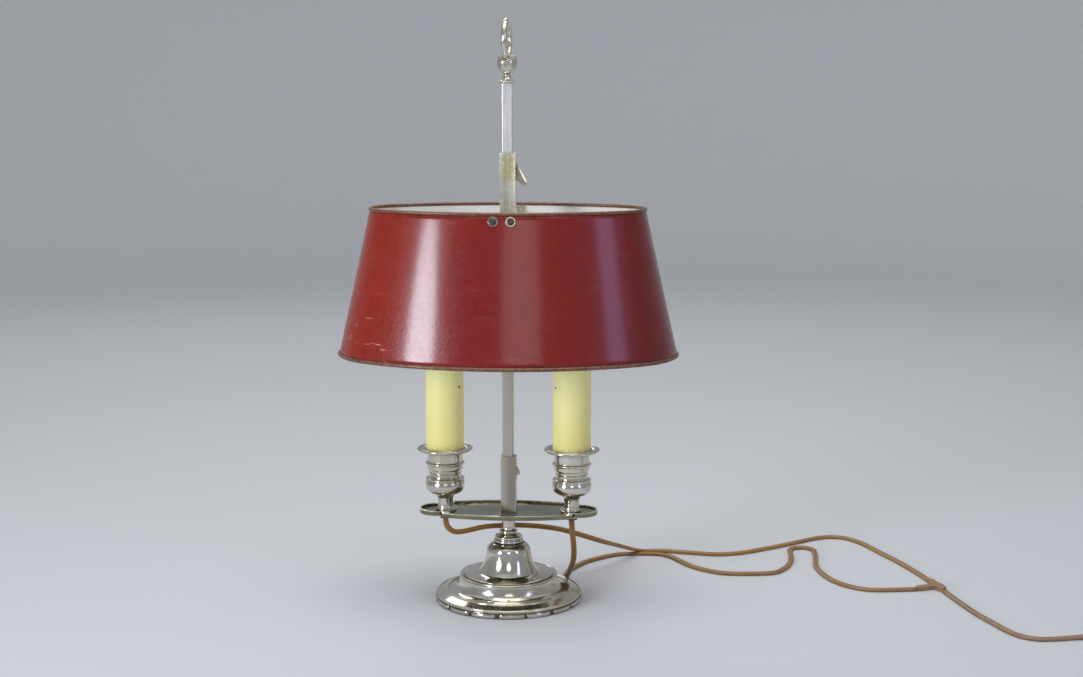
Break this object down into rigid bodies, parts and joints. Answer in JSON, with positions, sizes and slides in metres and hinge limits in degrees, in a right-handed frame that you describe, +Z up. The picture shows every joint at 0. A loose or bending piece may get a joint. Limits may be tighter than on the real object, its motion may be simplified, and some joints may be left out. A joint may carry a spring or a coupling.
{
  "type": "table lamp",
  "caption": "Bouillotte table lamp: silver-plated base and square stem, sliding oval red metal shade, sliding candle plate with electric candles, ring handle on top.",
  "frame": {"origin": "centre of the felt pad's underside, on the table, on the stem's axis", "axes": "+Z up along the stem, +X along the line of the two candles towards the side with the levers, -Y towards the front"},
  "size_m": [0.8198, 0.4862, 0.56],
  "materials": {
    "silver_plate": "worn silver plate on brass, polished",
    "brass": "bare and threaded brass",
    "shade_lacquer": "glossy red lacquer outside, ivory inside, worn edges",
    "steel": "plain steel",
    "dark_steel": "blackened steel",
    "cast_iron": "rough casting",
    "felt": "pressed felt",
    "candle_sleeve": "cream candle tube",
    "porcelain": "white glazed holder",
    "bulb_glass": "clear glass",
    "filament": "support and filament",
    "cord": "amber-brown flat twin cord",
    "black_plastic": "satin black",
    "switch_ivory": "glossy ivory"
  },
  "bodies": {
    "base": {"foot_band": "silver_plate", "base_shell": "silver_plate", "base_bell": "silver_plate", "ballast_weight": "cast_iron", "base_cover": "dark_steel", "felt_pad": "felt", "stem_knop": "silver_plate", "stem_bar": "silver_plate", "stem_washer": "steel", "stem_nut": "brass", "finial_urn": "silver_plate", "finial_ring": "silver_plate", "lead_left": "cord", "lead_right": "cord", "lead_splice": "cord", "main_lead": "cord", "main_coil": "cord", "coil_tie": "black_plastic", "switch_base": "black_plastic", "switch_cover": "black_plastic", "rocker_pin": "steel", "cord_screws": "steel", "plug_body": "black_plastic", "plug_pins": "brass"},
    "candle_plate": {"candle_plate": "silver_plate", "lower_sleeve": "silver_plate", "lower_lever_pin": "steel", "lower_lever_spring": "steel", "nozzle_left": "silver_plate", "nozzle_right": "silver_plate", "pan_left": "silver_plate", "pan_right": "silver_plate", "nozzle_nipples": "brass", "nipple_washers": "steel", "nipple_nuts": "brass", "cord_bushings": "black_plastic", "inner_wires": "cord", "holder_left": "porcelain", "holder_right": "porcelain", "holder_shells": "brass", "holder_contacts": "brass", "tube_left": "candle_sleeve", "tube_right": "candle_sleeve", "tube_pins": "brass", "bulb_glass_left": "bulb_glass", "bulb_glass_right": "bulb_glass", "bulb_caps": "steel", "bulb_filaments": "filament"},
    "plate_lever": {"lower_lever": "brass"},
    "shade": {"shade_shell": "shade_lacquer", "shade_strap": "silver_plate", "strap_screws": "dark_steel", "strap_washers": "silver_plate", "strap_nuts": "steel", "upper_sleeve": "silver_plate", "upper_lever_pin": "steel", "upper_lever_spring": "steel"},
    "shade_lever": {"upper_lever": "silver_plate"},
    "switch_rocker": {"switch_rocker": "switch_ivory"}
  },
  "joints": [
    {"name": "shade_slide", "type": "slide", "parent": "base", "child": "shade", "axis": [0, 0, 1], "range_m": [-0.165, 0.064]},
    {"name": "candle_plate_slide", "type": "slide", "parent": "base", "child": "candle_plate", "axis": [0, 0, 1], "range_m": [0, 0.045]},
    {"name": "shade_lever_pivot", "type": "hinge", "parent": "shade", "child": "shade_lever", "pos_m": [0.00665, 0, 0.4162], "axis": [0, 1, 0], "range_deg": [0, 20], "stiffness_Nm_per_rad": 0.25, "springref_deg": -5.73},
    {"name": "plate_lever_pivot", "type": "hinge", "parent": "candle_plate", "child": "plate_lever", "pos_m": [0.00665, 0, 0.127], "axis": [0, 1, 0], "range_deg": [0, 20], "stiffness_Nm_per_rad": 0.25, "springref_deg": -5.73},
    {"name": "rocker_tilt", "type": "hinge", "parent": "base", "child": "switch_rocker", "pos_m": [0.59, -0.095, 0.0125], "axis": [0, 1, 0], "range_deg": [0, 16]}
  ]
}
